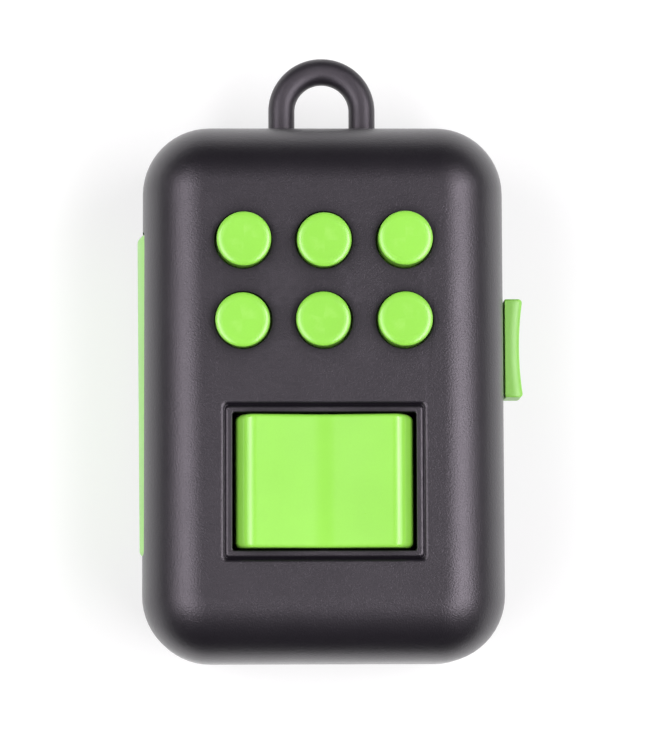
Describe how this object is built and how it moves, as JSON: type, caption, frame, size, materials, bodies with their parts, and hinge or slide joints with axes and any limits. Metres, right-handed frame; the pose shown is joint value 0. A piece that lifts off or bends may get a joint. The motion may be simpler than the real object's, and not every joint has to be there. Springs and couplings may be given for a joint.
{
  "type": "fidget pad",
  "caption": "Pocket fidget pad: rounded two-shell case with push buttons, a sprung two-way rocker, a side thumb slider, a worry pad and a key loop.",
  "frame": {"origin": "centre of the flat back face that the pad lies on", "axes": "+Z out of the button face, +Y towards the key loop, +X towards the thumb slider"},
  "size_m": [0.0452, 0.0716, 0.0244],
  "materials": {
    "case_black": "soft-touch satin, fine grain",
    "lime_plastic": "semi-gloss moulded",
    "spring_steel": "drawn wire",
    "screw_steel": "zinc plated",
    "pin_steel": "ground",
    "inner_plastic": "moulded, matt",
    "leaf_brass": "rolled strip"
  },
  "bodies": {
    "case": {"front_shell": "case_black", "back_shell": "case_black", "case_screws": "screw_steel", "key_loop": "case_black", "worry_pad": "lime_plastic", "button_spring_top_left": "spring_steel", "button_spring_top_middle": "spring_steel", "button_spring_top_right": "spring_steel", "button_spring_low_left": "spring_steel", "button_spring_low_middle": "spring_steel", "button_spring_low_right": "spring_steel", "button_plate": "inner_plastic", "plate_screws": "screw_steel", "rocker_cradle": "inner_plastic", "cradle_screws": "screw_steel", "rocker_spring_left": "spring_steel", "rocker_spring_right": "spring_steel"},
    "button_top_left_body": {"button_top_left": "lime_plastic"},
    "button_top_middle_body": {"button_top_middle": "lime_plastic"},
    "button_top_right_body": {"button_top_right": "lime_plastic"},
    "button_low_left_body": {"button_low_left": "lime_plastic"},
    "button_low_middle_body": {"button_low_middle": "lime_plastic"},
    "button_low_right_body": {"button_low_right": "lime_plastic"},
    "rocker_body": {"rocker": "lime_plastic", "rocker_axle": "pin_steel"},
    "slider_body": {"slider_knob": "lime_plastic", "slider_carriage": "inner_plastic", "slider_screw": "screw_steel", "slider_leaf_spring": "leaf_brass"}
  },
  "joints": [
    {"name": "button_top_left_press", "type": "slide", "parent": "case", "child": "button_top_left_body", "axis": [0, 0, -1], "range_m": [0, 0.0012], "stiffness_N_per_m": 600, "springref_m": -0.0008, "deforming": ["button_spring_top_left"]},
    {"name": "button_top_middle_press", "type": "slide", "parent": "case", "child": "button_top_middle_body", "axis": [0, 0, -1], "range_m": [0, 0.0012], "stiffness_N_per_m": 600, "springref_m": -0.0008, "deforming": ["button_spring_top_middle"]},
    {"name": "button_top_right_press", "type": "slide", "parent": "case", "child": "button_top_right_body", "axis": [0, 0, -1], "range_m": [0, 0.0012], "stiffness_N_per_m": 600, "springref_m": -0.0008, "deforming": ["button_spring_top_right"]},
    {"name": "button_low_left_press", "type": "slide", "parent": "case", "child": "button_low_left_body", "axis": [0, 0, -1], "range_m": [0, 0.0012], "stiffness_N_per_m": 600, "springref_m": -0.0008, "deforming": ["button_spring_low_left"]},
    {"name": "button_low_middle_press", "type": "slide", "parent": "case", "child": "button_low_middle_body", "axis": [0, 0, -1], "range_m": [0, 0.0012], "stiffness_N_per_m": 600, "springref_m": -0.0008, "deforming": ["button_spring_low_middle"]},
    {"name": "button_low_right_press", "type": "slide", "parent": "case", "child": "button_low_right_body", "axis": [0, 0, -1], "range_m": [0, 0.0012], "stiffness_N_per_m": 600, "springref_m": -0.0008, "deforming": ["button_spring_low_right"]},
    {"name": "rocker_tilt", "type": "hinge", "parent": "case", "child": "rocker_body", "pos_m": [0, -0.01065, 0.0195], "axis": [0, 1, 0], "range_deg": [-7, 7], "stiffness_Nm_per_rad": 0.03, "deforming": ["rocker_spring_left", "rocker_spring_right"]},
    {"name": "slider_slide", "type": "slide", "parent": "case", "child": "slider_body", "axis": [0, 1, 0], "range_m": [-0.0176, 0.0064]}
  ]
}
